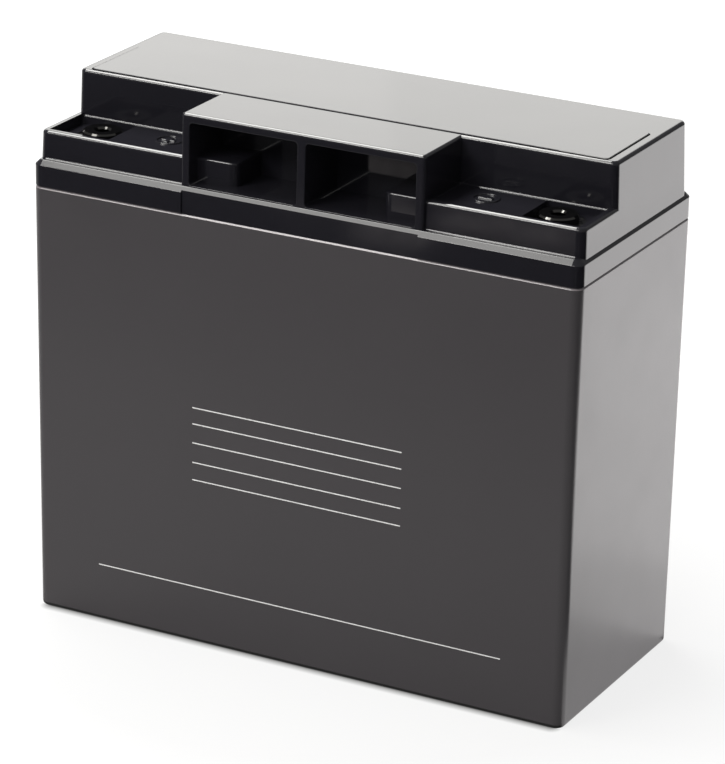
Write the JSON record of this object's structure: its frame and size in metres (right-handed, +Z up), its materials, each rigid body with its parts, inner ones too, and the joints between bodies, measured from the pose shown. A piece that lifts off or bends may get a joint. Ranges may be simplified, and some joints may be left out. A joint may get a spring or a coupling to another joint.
{
  "type": "sealed lead acid battery",
  "caption": "Upright block battery in a black case, with a stepped glossy lid, a central finger grip and sunk threaded terminals at the front corners.",
  "frame": {"origin": "centre of the base, on the surface that the battery stands on", "axes": "+X along the length, from the positive to the negative terminal's side; -Y towards the grip and the terminals; +Z up"},
  "size_m": [0.181, 0.077, 0.1673],
  "materials": {
    "case": "satin moulded ABS, very dark grey",
    "lid": "polished moulded ABS, black",
    "adhesive": "cured epoxy",
    "terminal_metal": "tin plated brass, dull",
    "potting": "black potting epoxy",
    "rubber": "black rubber",
    "lead": "cast lead, dull grey",
    "positive_plate": "lead dioxide paste on a lead grid, brown",
    "negative_plate": "sponge lead paste on a lead grid, grey",
    "glass_mat": "absorbent glass mat, white"
  },
  "bodies": {
    "root": {"container": "case", "lid": "lid", "lid_glue": "adhesive", "cover_plate": "lid", "terminal_positive": "terminal_metal", "terminal_potting_positive": "potting", "terminal_seal_positive": "rubber", "post_positive": "lead", "terminal_negative": "terminal_metal", "terminal_potting_negative": "potting", "terminal_seal_negative": "rubber", "post_negative": "lead", "valve_cap_1": "rubber", "positive_group_1": "positive_plate", "negative_group_1": "negative_plate", "separators_1": "glass_mat", "valve_cap_2": "rubber", "positive_group_2": "positive_plate", "negative_group_2": "negative_plate", "separators_2": "glass_mat", "valve_cap_3": "rubber", "positive_group_3": "positive_plate", "negative_group_3": "negative_plate", "separators_3": "glass_mat", "valve_cap_4": "rubber", "positive_group_4": "positive_plate", "negative_group_4": "negative_plate", "separators_4": "glass_mat", "valve_cap_5": "rubber", "positive_group_5": "positive_plate", "negative_group_5": "negative_plate", "separators_5": "glass_mat", "valve_cap_6": "rubber", "positive_group_6": "positive_plate", "negative_group_6": "negative_plate", "separators_6": "glass_mat", "cell_link_1": "lead", "cell_link_2": "lead", "cell_link_3": "lead", "cell_link_4": "lead", "cell_link_5": "lead"}
  },
  "joints": []
}
